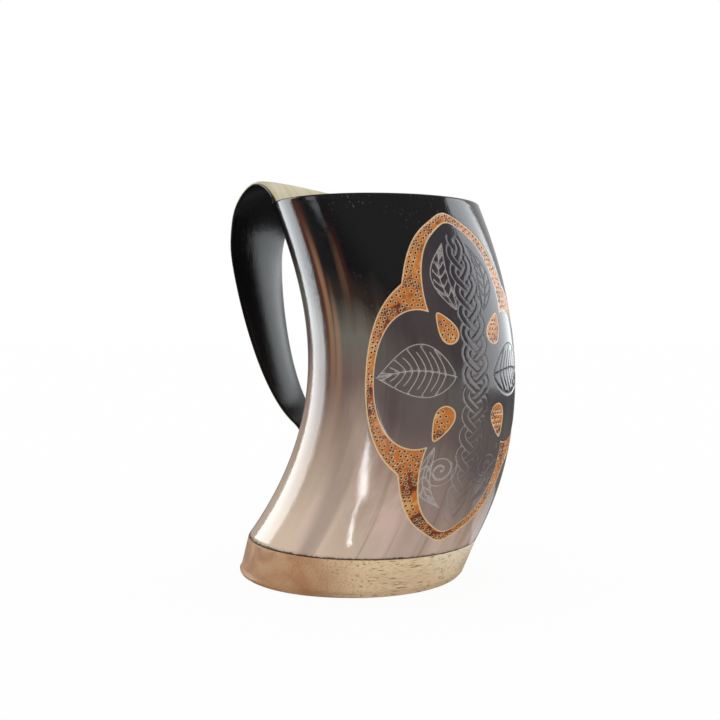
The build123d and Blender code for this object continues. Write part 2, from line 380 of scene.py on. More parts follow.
def outer_skin(nodes, finishes, growth):
    """Polished outside of the horn: black above, long brown streaks where it ends, cloudy and pale below."""
    x, y, height = (nodes.part(growth, axis) for axis in "XYZ")
    streak = nodes.drawn_out(growth, 0.05, 170.0, 4.0, 0.6)
    broad = nodes.drawn_out(growth, 0.10, 46.0, 2.0, 0.5)
    cloud = nodes.drawn_out(growth, 0.30, 44.0, 4.0, 0.6, 0.6)
    line = nodes.drawn_out(growth, 0.02, 420.0, 2.0, 0.5)
    behind = x * (-cos(BLACK_FRONT) / GROWTH_RADIUS) + y * (-sin(BLACK_FRONT) / GROWTH_RADIUS)
    depth = BLACK_END + behind * BLACK_SLANT - height + (broad - 0.5) * 0.036 + (streak - 0.5) * 0.014
    tone = nodes.add("MapRange", {}, {"Value": depth, "From Min": -0.026, "From Max": 0.092})
    horn = nodes.add("ValToRGB", {"stops": (
        (0.0, finishes.black), (0.15, finishes.black), (0.25, finishes.sable), (0.38, finishes.smoke),
        (0.52, finishes.mauve), (0.70, finishes.tan), (1.0, finishes.pale))}, {"Fac": tone})
    angle = nodes.add("Math", {"operation": "ARCTAN2"}, {0: y, 1: x}) * (180 / pi)
    angle = angle + (streak - 0.5) * STREAK_WANDER
    for place, width, top, low, shade, share in STREAKS:
        band = abs(angle - place).rise(width, width * 0.15)
        upper = height.rise(top + STREAK_FADE * 0.6, top - STREAK_FADE * 0.8)
        lower = height.rise(low - STREAK_FADE, low + STREAK_FADE)
        horn = nodes.mix(band * (upper * lower) * share, horn, getattr(finishes, shade))
    # Rosy and dull clouds, fine brown lines
    horn = nodes.mix(cloud.rise(0.44, 0.66) * tone.rise(0.5, 0.8) * 0.75, horn, finishes.rose)
    horn = nodes.mix(broad.rise(0.50, 0.66) * tone.rise(0.45, 0.8) * 0.45, horn, finishes.mauve)
    horn = nodes.mix(line.rise(0.56, 0.74) * tone.rise(0.12, 0.4) * 0.30, horn, finishes.brown)
    # Faint dust in the polish of the black
    dust = nodes.noise(growth, 900.0, 2.0, 0.5).rise(0.60, 0.76)
    dusty = nodes.noise(growth, 60.0, 2.0, 0.5).rise(0.48, 0.68)
    horn = nodes.mix(dust * dusty * 0.16, horn, finishes.scribe)
    # Filings and dark glue along the foot
    rough = nodes.noise(growth, 700.0, 4.0, 0.7)
    ragged = height - SEAM + (rough - 0.5) * 0.0022
    horn = nodes.mix(ragged.rise(0.0006, 0.0) * 0.85, horn, finishes.glue)
    worn = abs(angle - WORN_PLACE).rise(13, 5) * height.rise(SEAM + 0.0055, SEAM + 0.002)
    return nodes.mix(worn * rough.rise(0.42, 0.62) * 0.7, horn, finishes.chalk), tone


def inner_skin(nodes, finishes, growth):
    """Scraped inside of the horn: cream, with mossy and brown blotches."""
    blotch = nodes.drawn_out(growth, 0.5, 70.0, 4.0, 0.6, 0.8)
    streak = nodes.drawn_out(growth, 0.08, 160.0, 3.0, 0.6)
    mossy = nodes.mix(blotch.rise(0.46, 0.66) * 0.8, finishes.cream, finishes.moss)
    return nodes.mix(streak.rise(0.56, 0.74) * 0.25, mossy, finishes.brown)


def scuffs(nodes, growth):
    """Fine scratches and rub marks in the polish, from 0 to 1."""
    hair = nodes.drawn_out(growth, 0.06, 900.0, 2.0, 0.7)
    rub = nodes.noise(growth, 260.0, 4.0, 0.65, 1.2)
    return hair * 0.35 + rub * 0.65


def carved_finish(finishes, form):
    """The horn's wall, its carving laid on by what the wall's points know of the drawing."""
    nodes = Finish("carved_horn", finishes.black)
    growth = nodes.attribute("growth")
    skin = nodes.part(nodes.attribute("skin"), "X")
    horn, tone = outer_skin(nodes, finishes, growth)
    polish = scuffs(nodes, growth)

    carving = nodes.attribute("carving")
    outer, inner, pocket = (nodes.part(carving, axis) for axis in "XYZ")
    inside = outer.rise(0.12, -0.12)
    field = inner.rise(0.12, -0.12) * pocket.rise(-0.12, 0.12)
    border = inside * (1 - field)

    # Field: darker and duller than the wall, with clouds
    cloud = nodes.drawn_out(growth, 0.3, 60.0, 3.0, 0.6)
    ground = nodes.mix(0.15 + tone * 0.55, finishes.ground, horn)
    ground = nodes.mix(cloud.rise(0.35, 0.7) * 0.25, ground, finishes.mauve)
    base = nodes.mix(inside * 0.8, horn, ground)

    # Border: amber that wanders between honey and rust
    wander = nodes.noise(growth, 95.0, 3.0, 0.6, 0.5)
    fleck = nodes.noise(growth, 520.0, 3.0, 0.65)
    amber = nodes.add("ValToRGB", {"stops": (
        (0.28, finishes.honey), (0.40, finishes.amber), (0.50, finishes.amber), (0.59, finishes.rust),
        (0.74, finishes.soot))}, {"Fac": wander + (fleck - 0.5) * 0.34})
    base = nodes.mix(border, base, amber)

    # Punched pits: dark bottoms in pale rings; where the fleck is low a pit stays pale, a painted highlight
    scribe = nodes.attribute("scribe")
    signed, unsigned, pit = (nodes.part(scribe, axis) for axis in "XYZ")
    radius = form.punch_radius / MM
    ring = pit.rise(radius * 1.05, radius * 0.75) * border
    base = nodes.mix(ring * (0.25 + fleck * 0.6), base, finishes.bone)
    bottom = pit.rise(radius * 0.68, radius * 0.42) * border
    base = nodes.mix(bottom * fleck.rise(0.26, 0.40), base, finishes.pit)

    # Scribed lines and the raised edges of the border
    width = form.line_width / MM
    line = abs(signed).rise(width, width * 0.35) * unsigned.rise(width * 2.2, width * 1.6)
    line = line * inside * (1 - border)
    # The lines are pale on the panel's left, a painted highlight on their walls, and dark on its right
    # Share of the painted highlight that fades out towards the panel's right
    turned = nodes.part(growth, "Y").rise(-0.027, -0.010)
    groove_and_highlight = nodes.mix(turned * 0.85, finishes.scribe, finishes.ground)
    base = nodes.mix(line * (0.35 + polish * 0.7), base, groove_and_highlight)
    edge = abs(outer).least(abs(inner)).least(abs(pocket)).rise(width * 1.15, width * 0.5)
    base = nodes.mix(edge * (0.35 + fleck * 0.8), base, finishes.bone)

    base = nodes.mix(skin, base, inner_skin(nodes, finishes, growth))
    rough = 0.09 + (polish - 0.5) * 0.06 + inside * 0.06 + border * 0.16
    rough = rough + line * 0.3 + edge * 0.2 + skin * 0.2
    bump = polish * 0.35 + fleck * border * 0.8 - line * 0.7 - bottom * 1.2
    return nodes.surface(base, rough, bump, 0.00018, IOR=HORN_IOR)


def strap_finish(finishes):
    """The strap: black outside skin within its bend, cream inside skin without, a pale cut edge between."""
    nodes = Finish("bent_horn", finishes.cream)
    growth = nodes.attribute("growth")
    skin, side, run = (nodes.part(nodes.attribute("skin"), axis) for axis in "XYZ")
    streak = nodes.drawn_out(growth, 0.05, 150.0, 3.0, 0.6)
    dark = nodes.mix(streak.rise(0.60, 0.80) * 0.35, finishes.black, finishes.brown)
    # Painted reflection: blue-grey over the far half of the dark face, along its fall from the crest
    dark = nodes.mix(side.rise(-0.3, 0.9) * run.rise(0.12, 0.4) * 0.35, dark, finishes.slate_reflection)
    polish = scuffs(nodes, growth)
    base = nodes.mix(skin.rise(0.40, 0.75), dark, inner_skin(nodes, finishes, growth))
    return nodes.surface(base, 0.17 + (polish - 0.5) * 0.08 + skin * 0.14, polish, 0.0001,
                         IOR=HORN_IOR, Specular_IOR_Level=0.25)


# ---------------------------------------------------------------- other finishes
def wood_finish(finishes):
    """Oiled light wood: fine dots where its slanting grain is cut across, dashes along its paler side."""
    nodes = Finish("oiled_wood", finishes.wood)
    place = nodes.place()
    x, y, height = (nodes.part(place, axis) for axis in "XYZ")
    slant = radians(60)
    lengthwise, crosswise = x * cos(slant) + y * sin(slant), x * sin(slant) - y * cos(slant)
    grain = nodes.add("CombineXYZ", {}, {0: lengthwise * 0.13, 1: crosswise, 2: height})
    figure = nodes.noise(grain, 75.0, 3.0, 0.5, 0.5)
    dots = nodes.noise(grain, 2600.0, 2.0, 0.6)
    dashes = nodes.noise(grain, 1450.0, 1.0, 0.5)
    # The foot is paler towards its front
    side = x.rise(0.008, 0.036)
    base = nodes.mix(side * 0.9, finishes.wood, finishes.wood_pale)
    base = nodes.mix(x.rise(0.045, 0.054) * 0.9, base, finishes.sapwood)
    base = nodes.mix(figure.rise(0.42, 0.66) * 0.25, base, finishes.wood_pale)
    base = nodes.mix(figure.rise(0.50, 0.34) * 0.16, base, finishes.pore)
    pit = dots.rise(0.46, 0.70) * (0.5 - side * 0.2) + dashes.rise(0.60, 0.70) * side * 0.62
    base = nodes.mix(pit, base, finishes.pore)
    return nodes.surface(base, 0.42 + pit * 0.25, 0 - pit, 0.00012)


def resin_finish(finishes):
    nodes = Finish("sealing_resin", finishes.resin)
    flow = nodes.noise(nodes.place(), 110.0, 3.0, 0.5, 0.7)
    base = nodes.mix(flow.rise(0.35, 0.7), finishes.resin, finishes.glue)
    return nodes.surface(base, 0.16 + flow * 0.14, flow, 0.0002, IOR=1.5)


def glue_finish(finishes):
    nodes = Finish("glue_line", finishes.glue)
    crumb = nodes.noise(nodes.place(), 1100.0, 4.0, 0.7)
    base = nodes.mix(crumb.rise(0.5, 0.75) * 0.5, finishes.glue, finishes.wood)
    return nodes.surface(base, 0.7 + crumb * 0.2, crumb, 0.0002)


def brass_finish(finishes):
    nodes = Finish("old_brass", finishes.brass)
    place = nodes.place()
    tarnish = nodes.noise(place, 600.0, 4.0, 0.6, 0.5)
    marks = nodes.noise(place, 2200.0, 3.0, 0.7)
    base = nodes.mix(tarnish.rise(0.45, 0.72) * 0.7, finishes.brass, finishes.pore)
    return nodes.surface(base, 0.24 + tarnish * 0.25, marks * 0.5 + tarnish * 0.5, 0.00008, Metallic=1.0)


# ---------------------------------------------------------------- the horn's form
def through(values, share):
    """Height of the smooth curve through evenly spaced values, at a share of its length."""
    last = len(values) - 1
    total = 0.0
    for i, value in enumerate(values):
        weight = 1.0
        for j in range(last + 1):
            if j != i:
                weight *= (share * last - j) / (i - j)
        total += weight * value
    return total


def smooth(share):
    """A share from 0 to 1, eased at both ends."""
    share = min(1.0, max(0.0, share))
    return share * share * (3 - 2 * share)


class Horn:
    """The horn's wall as a surface: an angle round it, a height and a distance in from its outside."""

    def __init__(self, form):
        self.form = form
        self.known = {}

    def section(self, height):
        """Middle, half length, half width and wall of the level section at a height."""
        if height not in self.known:
            share = (height - SEAM) / (RIM - SEAM)
            form = self.form
            self.known[height] = (through(form.middle, share),
                                  form.mouth_length / 2 * through(form.length_shares, share),
                                  form.mouth_width / 2 * through(form.width_shares, share),
                                  form.foot_wall + (form.rim_wall - form.foot_wall) * share)
        return self.known[height]

    def wall(self, height):
        return self.section(height)[3]

    def point(self, angle, height, inset=0.0):
        middle, long, wide, _ = self.section(height)
        return Vector((middle + (long - inset) * cos(angle), (wide - inset) * sin(angle), height))

    def back_slope(self, height):
        """Direction up the wall under the handle."""
        step = 0.5 * MM
        return (self.point(pi, height + step) - self.point(pi, height - step)).normalized()


# ---------------------------------------------------------------- the carving's drawing, in millimetres
def nearest(points):
    """A tree that finds the nearest of flat points."""
    tree = kdtree.KDTree(len(points))
    for i, (x, y) in enumerate(points):
        tree.insert((x, y, 0.0), i)
    tree.balance()
    return tree


class Lines:
    """Lines of the drawing, and how far a point lies from the nearest of them."""

    def __init__(self, lines, closed=False):
        self.points, self.links = [], []
        for line in lines:
            first, last = len(self.points), len(self.points) + len(line) - 1
            self.points += [tuple(point[:2]) for point in line]
            for i in range(first, last + 1):
                before = i - 1 if i > first else last if closed else i
                after = i + 1 if i < last else first if closed else i
                self.links.append((before, after))
        self.tree = nearest(self.points)

    def gap(self, x, y):
        """Distance to the nearest line, below zero on its left. The left of a closed line is its inside."""
        here = self.tree.find((x, y, 0.0))[1]
        best = None
        for start, end in ((self.links[here][0], here), (here, self.links[here][1])):
            if start == end:
                continue
            (ax, ay), (bx, by) = self.points[start], self.points[end]
            dx, dy = bx - ax, by - ay
            share = min(1.0, max(0.0, ((x - ax) * dx + (y - ay) * dy) / (dx * dx + dy * dy)))
            ex, ey = x - ax - share * dx, y - ay - share * dy
            away = hypot(ex, ey)
            if best is None or away < abs(best):
                best = -away if dx * ey > dy * ex else away
        return best


def along(function, count):
    """Points of a curve at even steps from its start, 0, to its end, 1."""
    return [function(i / (count - 1)) for i in range(count)]


def mirrored(lines):
    """Lines, and the same lines on the other side of the panel."""
    return lines + [[(-point[0], point[1]) for point in line] for line in lines]


def lobes(angle, notch, sharpness, points):
    """Radius, as a share, of a four-lobed outline whose upper and lower lobes are pointed."""
    point_width = 0.13
    pointed = exp(-(cos(angle) / point_width) ** 2)
    return notch + (1 - notch - points) * abs(cos(2 * angle)) ** sharpness + points * pointed


def outline(half_width, half_height, *shape):
    """The four-lobed outline as a closed line."""
    def point(share):
        angle = tau * share
        size = lobes(angle, *shape)
        return (half_width * size * cos(angle), half_height * size * sin(angle))
    return along(point, 900)[:-1]


def within(x, y, half_width, half_height, *shape):
    """Whether a point lies inside the four-lobed outline."""
    angle = atan2(y / half_height, x / half_width)
    return hypot(x / half_width, y / half_height) < lobes(angle, *shape)


def leaf(base, tip, half_width, bend, veins):
    """A pointed leaf: its midrib, its two edges and slanting veins, in turn long and short."""
    base, tip = Vector(base), Vector(tip)
    axis = tip - base
    across = Vector((-axis.y, axis.x)) / axis.length

    def rib(share):
        return base + axis * share + across * bend * sin(pi * share)

    def rim(share, way):
        return rib(share) + across * (way * half_width * sin(pi * share ** 0.8))

    lines = [along(rib, 70)] + [along(lambda share: rim(share, way), 70) for way in (-1, 1)]
    # Veins leave the rib along most of it, lean towards the tip, sag a little and stop short of the edge
    low, stretch, lean, highest, sag = 0.05, 0.83, 0.15, 0.985, axis * -0.014
    for i in range(1, veins):
        start = low + stretch * i / veins
        for way in (-1, 1):
            foot, head = rib(start), rim(min(highest, start + lean), way)
            reach = 0.93 if i % 2 else 0.72
            lines.append(along(lambda share: foot.lerp(head, share * reach) + sag * sin(pi * share), 24))
    return lines


def spiral(centre, radius, turns, start):
    """A spiral line that winds in to its centre."""
    def point(share):
        angle = start + tau * turns * share
        reach = radius * (1 - share) ** 0.85
        return (centre[0] + reach * cos(angle), centre[1] + reach * sin(angle))
    return along(point, 130)


def plait(low, high, half_width, pitch, strand):
    """A three-strand plait up the middle, each strand two lines that break where it passes under."""
    def swing(y):
        ends = 1 - abs((2 * y - low - high) / (high - low)) ** 5
        return half_width * max(0.0, ends) ** 0.5

    def across(k, y):
        return swing(y) * sin(tau * (y / pitch + k / 3))

    def over(k, y):
        return sin(2 * tau * (y / pitch + k / 3))

    lines = []
    step, cover = 0.3, strand * 1.25
    for k in range(3):
        for side in (-1, 1):
            line = []
            for i in range(int((high - low) / step)):
                y = low + i * step
                slope = (across(k, y + step) - across(k, y - step)) / (2 * step)
                span = hypot(1.0, slope)
                px, py = across(k, y) + side * strand / span, y - side * strand * slope / span
                hidden = any(over(j, y) > over(k, y) and abs(px - across(j, py)) < cover * span
                             for j in range(3) if j != k)
                if not hidden:
                    line.append((px, py))
                elif line:
                    lines.append(line)
                    line = []
            lines.append(line)
    return [line for line in lines if len(line) > 3]


def drop(centre, long, wide, tilt):
    """A closed drop shape, pointed at one end."""
    def point(share):
        angle = tau * share
        x, y = long * cos(angle), wide * sin(angle) * (1 - 0.5 * cos(angle))
        return (centre[0] + x * cos(tilt) - y * sin(tilt), centre[1] + x * sin(tilt) + y * cos(tilt))
    return along(point, 100)[:-1]


class Drawing:
    """The whole drawing: a four-lobed panel with a punched border, a plait, leaves, spirals and drops."""

    # Notch, sharpness and points of the two outlines
    OUTER_SHAPE = (0.80, 1.1, 0.035)
    INNER_SHAPE = (0.60, 0.85, 0.03)
    # Centre, half length, half width and tilt
    DROPS = (((11.8, 18.5), 6.0, 3.4, radians(62)), ((13.5, -16.0), 6.5, 3.6, radians(-70)))
    # Lower and upper end, half width, pitch and half width of a strand
    PLAIT = (-52.0, 52.0, 4.6, 22.0, 1.25)
    # Base, tip, half width, bend and veins
    SIDE_LEAF = ((9.0, 1.0), (39.5, 0.5), 9.5, 2.5, 10)
    UPPER_LEAF = ((6.5, 25.0), (5.5, 49.0), 3.6, -4.5, 6)
    LOWER_LEAF = ((15.0, -24.5), (6.5, -47.0), 2.6, 5.5, 5)
    # Centre, radius, turns and start
    SPIRALS = (((10.5, -33.0), 6.6, 2.3, radians(140)), ((10.5, -33.0), 4.6, 1.4, radians(140)))

    def __init__(self, form, columns, rows):
        self.columns, self.rows = columns, rows
        self.outer_size = (form.half_width / MM, form.half_height / MM)
        self.inner_size = tuple(size - form.band / MM for size in self.outer_size)
        self.outer = Lines([outline(*self.outer_size, *self.OUTER_SHAPE)], closed=True)
        self.inner = Lines([outline(*self.inner_size, *self.INNER_SHAPE)], closed=True)
        drops = [drop(*shape) for shape in self.DROPS]
        mirror = [[(-x, y) for x, y in reversed(line)] for line in drops]
        self.pockets = Lines(drops + mirror, closed=True)
        self.strokes = Lines(
            plait(*self.PLAIT) + mirrored(leaf(*self.SIDE_LEAF)) + mirrored(leaf(*self.UPPER_LEAF))
            + mirrored([spiral(*shape) for shape in self.SPIRALS]) + mirrored(leaf(*self.LOWER_LEAF)))
        self.punches = self.punch(form.punch_gap / MM)
        self.tree = nearest(self.punches)

    def zones(self, x, y):
        """How far a point lies outside the outer outline, the inner one and the nearest drop."""
        outer, inner = abs(self.outer.gap(x, y)), abs(self.inner.gap(x, y))
        if within(x, y, *self.outer_size, *self.OUTER_SHAPE):
            outer = -outer
        if within(x, y, *self.inner_size, *self.INNER_SHAPE):
            inner = -inner
        return outer, inner, self.pockets.gap(x, y)

    def punch(self, gap):
        """Centres of the punched pits: two rows round the border, then rows that fill what is wide.

        Each one is put on a corner of the mesh, which keeps it round.
        """
        dice = random.Random(7)
        slip, row_gap = 0.2, gap * 0.87
        margin = 0.7            # ground left along the border's edges
        edge_rows = (1.0, 2.55)     # distance of the two rows from the outer edge
        edge_room, fill_room = gap * 0.7, gap * 0.78    # least distance between two pits
        found = []

        def try_at(x, y, room):
            x = min(self.columns, key=lambda column: abs(column - x))
            y = min(self.rows, key=lambda row: abs(row - y))
            outer, inner, pocket = self.zones(x, y)
            ground = outer < -margin and (inner > margin or pocket < -margin)
            if ground and all(hypot(x - a, y - b) > room for a, b in found):
                found.append((x, y))

        edge = self.outer.points
        for row, inset in enumerate(edge_rows):
            walked = gap * 0.5 * row
            for (ax, ay), (bx, by) in zip(edge, edge[1:] + edge[:1]):
                step = hypot(bx - ax, by - ay)
                walked += step
                if walked > gap:
                    walked -= gap
                    depth = inset + dice.uniform(-slip, slip)
                    try_at(ax - (by - ay) / step * depth, ay + (bx - ax) / step * depth, edge_room)
        rows = int(2 * self.outer_size[1] / row_gap)
        columns = int(2 * self.outer_size[0] / gap)
        for j in range(rows):
            for i in range(columns):
                x = -self.outer_size[0] + (i + 0.5 * (j % 2)) * gap + dice.uniform(-slip, slip)
                y = -self.outer_size[1] + j * row_gap + dice.uniform(-slip, slip)
                try_at(x, y, fill_room)
        return found

    def at(self, x, y):
        """What a point of the wall knows of the drawing: its zones, nearest stroke and nearest pit."""
        stroke = self.strokes.gap(x, y)
        return self.zones(x, y), (stroke, abs(stroke), self.tree.find((x, y, 0.0))[2])


# ---------------------------------------------------------------- meshes
def place_object(name, data):
    """A new object at the origin of the scene."""
    made = bpy.data.objects.new(name, data)
    bpy.context.scene.collection.objects.link(made)
    return made


def finish_piece(name, mesh, material, attributes, nodes):
    """Turns a bmesh into a smooth piece that rides on the cup and stands for its CAD nodes."""
    bmesh.ops.recalc_face_normals(mesh, faces=mesh.faces)
    if mesh.calc_volume(signed=True) < 0:
        bmesh.ops.reverse_faces(mesh, faces=mesh.faces)
    data = bpy.data.meshes.new(name)
    mesh.to_mesh(data)
    mesh.free()
    for key, values in attributes.items():
        layer = data.attributes.new(key, "FLOAT_VECTOR", "POINT")
        layer.data.foreach_set("vector", [part for value in values for part in value])
    data.polygons.foreach_set("use_smooth", [True] * len(data.polygons))
    data.materials.append(material)
    piece = place_object(name, data)
    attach(piece, "root")
    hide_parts(*nodes)
    return piece


def spin_full(mesh, steps):
    """Turns all of a profile once round Z."""
    bmesh.ops.spin(mesh, geom=mesh.verts[:] + mesh.edges[:], cent=(0, 0, 0), axis=(0, 0, 1), angle=tau,
                   steps=steps, use_merge=True)


def ring_blank(rows, steps):
    """A square ring about Z, from radius 1 to 2 and height 0 to 1, its four sides cut into rows."""
    blank = bmesh.new()
    corners = [blank.verts.new(corner) for corner in ((2, 0, 0), (2, 0, 1), (1, 0, 1), (1, 0, 0))]
    sides = [blank.edges.new((corners[i], corners[(i + 1) % 4])) for i in range(4)]
    for side, count in zip(sides, rows):
        bmesh.ops.subdivide_edges(blank, edges=[side], cuts=count - 1)
    spin_full(blank, steps)
    return blank


def spread(start, low, high, end, fine, coarse):
    """Values from start to end, close together from low to high and wide apart elsewhere."""
    values = []
    for a, b, gap in ((start, low, coarse), (low, high, fine), (high, end, coarse)):
        count = max(1, round((b - a) / gap))
        values += [a + (b - a) * i / count for i in range(count)]
    return values + [end]


SIDE_MARGIN = 3 * MM        # fine mesh beyond the panel, at its sides
END_MARGIN = 1.5 * MM       # and at its ends
AWAY = ((9.0, 9.0, 9.0), (9.0, 9.0, 9.0))   # what a point away from the panel knows of the drawing


class HORNCUP_OT_wall(bpy.types.Operator):
    """Builds the carved horn wall"""

    bl_idname = "horncup.wall"
    bl_label = "Carved Wall"

    def execute(self, context):
        scene = context.scene
        form, carving, strap = scene.horn_form, scene.carving_form, scene.strap_form
        horn = Horn(form)
        half_turn = (carving.half_width + SIDE_MARGIN) / carving.radius
        low_angle, high_angle = carving.angle - half_turn, carving.angle + half_turn
        angles = spread(low_angle - (tau - 2 * half_turn) / 2, low_angle, high_angle,
                        high_angle + (tau - 2 * half_turn) / 2, carving.cell / carving.radius,
                        form.column / carving.radius)[:-1]
        heights = spread(SEAM, carving.height - carving.half_height - END_MARGIN,
                         carving.height + carving.half_height + END_MARGIN, RIM - form.lip_round,
                         carving.cell, form.row)
        drawing = Drawing(carving, [(angle - carving.angle) * carving.radius / MM for angle in angles],
                          [(height - carving.height) / MM for height in heights])
        inner_rows, lip_rows, foot_rows = 30, 10, 2
        edge = 0.001                # a point this near a side of the blank is on it
        seat_end = radians(1.5)     # the strap's seat ends over this angle
        blank = ring_blank((len(heights) - 1, lip_rows, inner_rows, foot_rows), len(angles))
        root_angle = asin(strap.root_half_width / horn.section(RIM)[2])

        layers = {"growth": [], "skin": [], "carving": [], "scribe": []}
        blank.verts.index_update()
        for vertex in blank.verts:
            x, y, share = vertex.co
            across = 2 - hypot(x, y)
            angle = angles[round(atan2(y, x) % tau / tau * len(angles)) % len(angles)]
            # The lip stays square under the strap, as its seat
            seat = smooth((root_angle - abs(angle % tau - pi)) / seat_end)
            known, skin = AWAY, 0.0
            on_lip = share > 1 - edge
            if across < edge and not on_lip:        # outside
                height = heights[round(share * (len(heights) - 1))]
                inset = form.inset
                turn = (angle - carving.angle + pi) % tau - pi
                u, v = turn * carving.radius / MM, (height - carving.height) / MM
                if abs(turn) < half_turn and abs(v) < carving.half_height / MM + 2:
                    known = drawing.at(u, v)
                    inset += carved_depth(carving, known)
            elif across > 1 - edge and not on_lip:  # inside
                height = SEAM + (RIM - form.lip_round - SEAM) * share
                inset, skin = horn.wall(height), 1.0
            elif on_lip:
                inset, drop = lip_round(across, form.lip_round, form.rim_wall)
                height, skin = RIM - drop * (1 - seat), smooth((across - 0.55) / 0.3)
            else:                                   # end at the seam
                height, inset, skin = SEAM, horn.wall(SEAM) * across, 1.0
            vertex.co = horn.point(angle, height, inset)
            layers["growth"].append((carving.radius * cos(angle), carving.radius * sin(angle), height))
            layers["skin"].append((skin, 0.0, 0.0))
            for key, value in zip(("carving", "scribe"), known):
                layers[key].append(value)
        finish_piece("carved_horn_wall", blank, carved_finish(scene.finishes, carving), layers, ["cup_wall"])
        return {"FINISHED"}


def lip_round(across, radius, wall):
    """How far in and how far down the lip is, across it: flat between two rounded edges."""
    edge = 0.4      # share of the lip's rows on each of its round edges
    if across > 1 - edge:
        inset, drop = lip_round(1 - across, radius, wall)
        return wall - inset, drop
    turn = min(1.0, across / edge) * pi / 2
    flat = max(0.0, (across - edge) / (1 - 2 * edge))
    return radius * (1 - cos(turn)) + (wall - 2 * radius) * flat, radius * (1 - sin(turn))


def carved_depth(form, known):
    """How deep the carving is at a point of the wall."""
    (outer, inner, pocket), (_, stroke, pit) = known
    slope, field_slope, edge_share = 0.5, 0.3, 0.6
    border = smooth(-outer / slope) * max(smooth(inner / slope), smooth(-pocket / slope))
    field = smooth(-inner / field_slope) * smooth(pocket / field_slope)
    edge = min(abs(outer), abs(inner), abs(pocket))
    reach, radius = 1.6 * (form.line_width / MM), form.punch_radius / MM
    depth = form.sunk * border
    depth += form.line_depth * field * max(0.0, 1 - stroke / reach)
    depth += form.line_depth * max(0.0, 1 - edge / reach) * edge_share
    depth += form.punch_depth * border * max(0.0, 1 - (pit / radius) ** 2)
    return depth


class Strap:
    """The strap as a surface: a run along it from the rim, a place across it and one through it."""

    def __init__(self, form, horn):
        self.form, self.horn = form, horn
        back = horn.back_slope
        root = horn.point(pi, RIM)
        shoulder = root + Vector((-form.reach, 0, -form.shoulder_drop))
        knee = horn.point(pi, form.rivet_height + form.knee_rise) - Vector((form.knee_reach, 0, 0))
        slant = Vector((cos(form.knee_angle), 0, -sin(form.knee_angle)))
        lap_low, lap_high = form.rivet_height - form.lap_drop, form.rivet_height + form.lap_rise
        lap_points = 12
        lap = [self.on_wall(lap_high + (lap_low - lap_high) * i / lap_points) for i in range(lap_points + 1)]
        up = Vector((0, 0, 1))
        self.line, start = [root], root
        for pull, end_pull, end, count in (
                (back(RIM) * form.crest_pull, up * form.shoulder_pull, shoulder, 160),
                (up * -form.span_pull, slant * -form.knee_pull, knee, 160),
                (slant * form.bend_pull, back(lap_high) * form.bend_pull, lap[0], 60)):
            self.line += interpolate_bezier(start, start + pull, end + end_pull, end, count)[1:]
            start = end
        self.line += lap[1:]
        self.runs = [0.0]
        for a, b in zip(self.line, self.line[1:]):
            self.runs.append(self.runs[-1] + (b - a).length)
        self.length = self.runs[-1]
        self.last = 0

    def on_wall(self, height):
        """Point just off the wall, under the handle."""
        slope = self.horn.back_slope(height)
        out = Vector((-slope.z, 0, slope.x))
        return self.horn.point(pi, height) + out * self.form.lap_clearance

    def middle(self, run):
        """Point and direction of the middle line."""
        run = min(max(run, 0.0), self.length)
        while self.last > 0 and self.runs[self.last] > run:
            self.last -= 1
        while self.last < len(self.line) - 2 and self.runs[self.last + 1] < run:
            self.last += 1
        i = self.last
        a, b = self.line[i], self.line[i + 1]
        share = (run - self.runs[i]) / (self.runs[i + 1] - self.runs[i])
        before, after = self.line[max(i - 1, 0)], self.line[min(i + 2, len(self.line) - 1)]
        start, end = (b - before).normalized(), (after - a).normalized()
        return a.lerp(b, share), start.lerp(end, share).normalized()

    def flare(self, run):
        return max(0.0, 1 - run / self.form.flare_length) ** 2

    def half_width(self, run):
        form = self.form
        taper = form.neck_half_width + (form.tip_half_width - form.neck_half_width) * run / self.length
        tip = max(0.0, 1 - (self.length - run) / form.tip_round)
        return (taper + (form.root_half_width - form.neck_half_width) * self.flare(run)) * sqrt(1 - tip ** 2)

    def thickness(self, run, side):
        form = self.form
        thin = form.thickness + (form.edge_thickness - form.thickness) * abs(side) ** 2.5
        return thin + (self.horn.form.rim_wall - thin) * self.flare(run)

    def bow(self, run, side):
        """How far the dark face lies off the middle line: the rim's bend, the crown and the bulge."""
        form = self.form
        _, long, wide, _ = self.horn.section(RIM)
        way = self.middle(run)[1]
        pale = Vector((way.z, 0, -way.x))
        sweep = (1 + cos(pi * min(1.0, run / form.sweep_length))) / 2
        reach = long * (1 - sqrt(1 - (side * form.root_half_width / wide) ** 2)) * sweep
        if run < form.crown_length:
            crown = -form.crown * sin(pi * run / form.crown_length)
        else:
            crown = form.belly * sin(pi * (run - form.crown_length) / (self.length - form.crown_length))
        bulge = form.press * sin(pi * smooth(run / (self.length - form.press_end))) * (1 - side ** 2)
        return Vector((reach, 0, 0)) + pale * (crown * side ** 2 - bulge)

    def dark_point(self, run, side):
        half_width = self.half_width(run)
        return self.middle(run)[0] + self.bow(run, side) + Vector((0, side * half_width, 0))

    def normal(self, run, side):
        """Direction through the strap, from its dark face to its pale one."""
        step, aside, level_end = 0.4 * MM, 0.04, 3 * MM
        near, far = max(run - step, 0.0), min(run + step, self.length - step)
        way = self.dark_point(far, side) - self.dark_point(near, side)
        across = self.dark_point(run, side + aside) - self.dark_point(run, side - aside)
        normal = across.cross(way)
        # Level where it sits on the rim
        normal.z *= 1 - smooth(1 - run / level_end)
        return normal.normalized()


